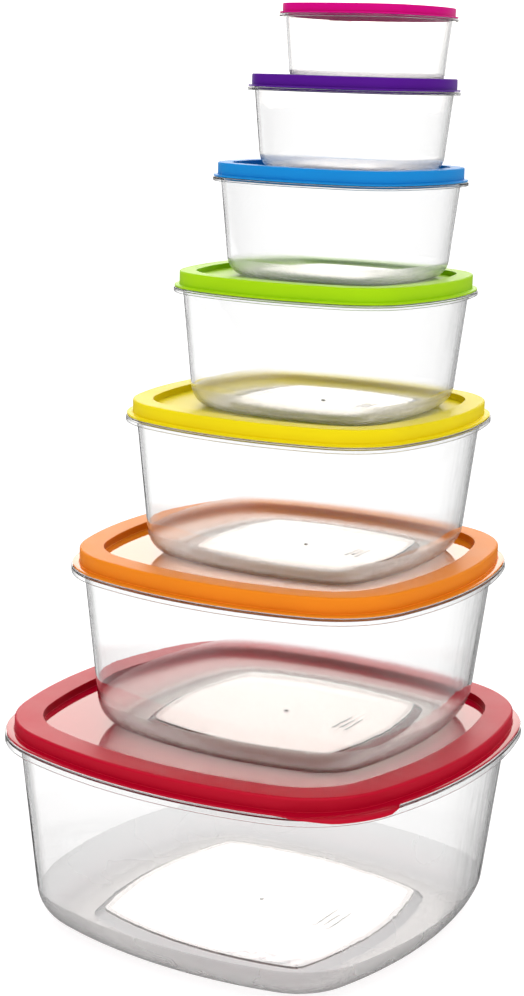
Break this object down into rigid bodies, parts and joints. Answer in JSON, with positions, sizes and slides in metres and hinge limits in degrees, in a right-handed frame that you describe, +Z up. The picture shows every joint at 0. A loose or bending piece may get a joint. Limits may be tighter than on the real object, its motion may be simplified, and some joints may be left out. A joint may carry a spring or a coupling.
{
  "type": "snap lid food container set",
  "caption": "Stack of square see-through food tubs in falling sizes, each closed by a coloured snap lid whose sunk middle seats the tub above.",
  "frame": {"origin": "middle of the largest tub's foot, on the surface that it stands on", "axes": "+Z up through the stack; +X and +Y out of two sides of the largest tub, and the stack leans towards both"},
  "size_m": [0.26, 0.26, 0.4996],
  "materials": {
    "clear_plastic": "clear polypropylene, smooth",
    "red_plastic": "solid coloured polyethylene, satin ring and glossy middle",
    "orange_plastic": "solid coloured polyethylene, satin ring and glossy middle",
    "yellow_plastic": "solid coloured polyethylene, satin ring and glossy middle",
    "green_plastic": "solid coloured polyethylene, satin ring and glossy middle",
    "blue_plastic": "solid coloured polyethylene, satin ring and glossy middle",
    "purple_plastic": "solid coloured polyethylene, satin ring and glossy middle",
    "pink_plastic": "solid coloured polyethylene, satin ring and glossy middle"
  },
  "bodies": {
    "tub_red": {"tub_red": "clear_plastic"},
    "lid_red": {"lid_red": "red_plastic"},
    "tub_orange": {"tub_orange": "clear_plastic"},
    "lid_orange": {"lid_orange": "orange_plastic"},
    "tub_yellow": {"tub_yellow": "clear_plastic"},
    "lid_yellow": {"lid_yellow": "yellow_plastic"},
    "tub_green": {"tub_green": "clear_plastic"},
    "lid_green": {"lid_green": "green_plastic"},
    "tub_blue": {"tub_blue": "clear_plastic"},
    "lid_blue": {"lid_blue": "blue_plastic"},
    "tub_purple": {"tub_purple": "clear_plastic"},
    "lid_purple": {"lid_purple": "purple_plastic"},
    "tub_pink": {"tub_pink": "clear_plastic"},
    "lid_pink": {"lid_pink": "pink_plastic"}
  },
  "joints": [
    {"name": "lid_red_lift", "type": "slide", "parent": "tub_red", "child": "lid_red", "axis": [0, 0, 1], "range_m": [0, 0.1095]},
    {"name": "tub_orange_lift", "type": "slide", "parent": "lid_red", "child": "tub_orange", "axis": [0, 0, 1], "range_m": [0, 0.03]},
    {"name": "lid_orange_lift", "type": "slide", "parent": "tub_orange", "child": "lid_orange", "axis": [0, 0, 1], "range_m": [0, 0.0903]},
    {"name": "tub_yellow_lift", "type": "slide", "parent": "lid_orange", "child": "tub_yellow", "axis": [0, 0, 1], "range_m": [0, 0.03]},
    {"name": "lid_yellow_lift", "type": "slide", "parent": "tub_yellow", "child": "lid_yellow", "axis": [0, 0, 1], "range_m": [0, 0.0758]},
    {"name": "tub_green_lift", "type": "slide", "parent": "lid_yellow", "child": "tub_green", "axis": [0, 0, 1], "range_m": [0, 0.03]},
    {"name": "lid_green_lift", "type": "slide", "parent": "tub_green", "child": "lid_green", "axis": [0, 0, 1], "range_m": [0, 0.0635]},
    {"name": "tub_blue_lift", "type": "slide", "parent": "lid_green", "child": "tub_blue", "axis": [0, 0, 1], "range_m": [0, 0.03]},
    {"name": "lid_blue_lift", "type": "slide", "parent": "tub_blue", "child": "lid_blue", "axis": [0, 0, 1], "range_m": [0, 0.0512]},
    {"name": "tub_purple_lift", "type": "slide", "parent": "lid_blue", "child": "tub_purple", "axis": [0, 0, 1], "range_m": [0, 0.03]},
    {"name": "lid_purple_lift", "type": "slide", "parent": "tub_purple", "child": "lid_purple", "axis": [0, 0, 1], "range_m": [0, 0.0418]},
    {"name": "tub_pink_lift", "type": "slide", "parent": "lid_purple", "child": "tub_pink", "axis": [0, 0, 1], "range_m": [0, 0.03]},
    {"name": "lid_pink_lift", "type": "slide", "parent": "tub_pink", "child": "lid_pink", "axis": [0, 0, 1], "range_m": [0, 0.0345]}
  ]
}
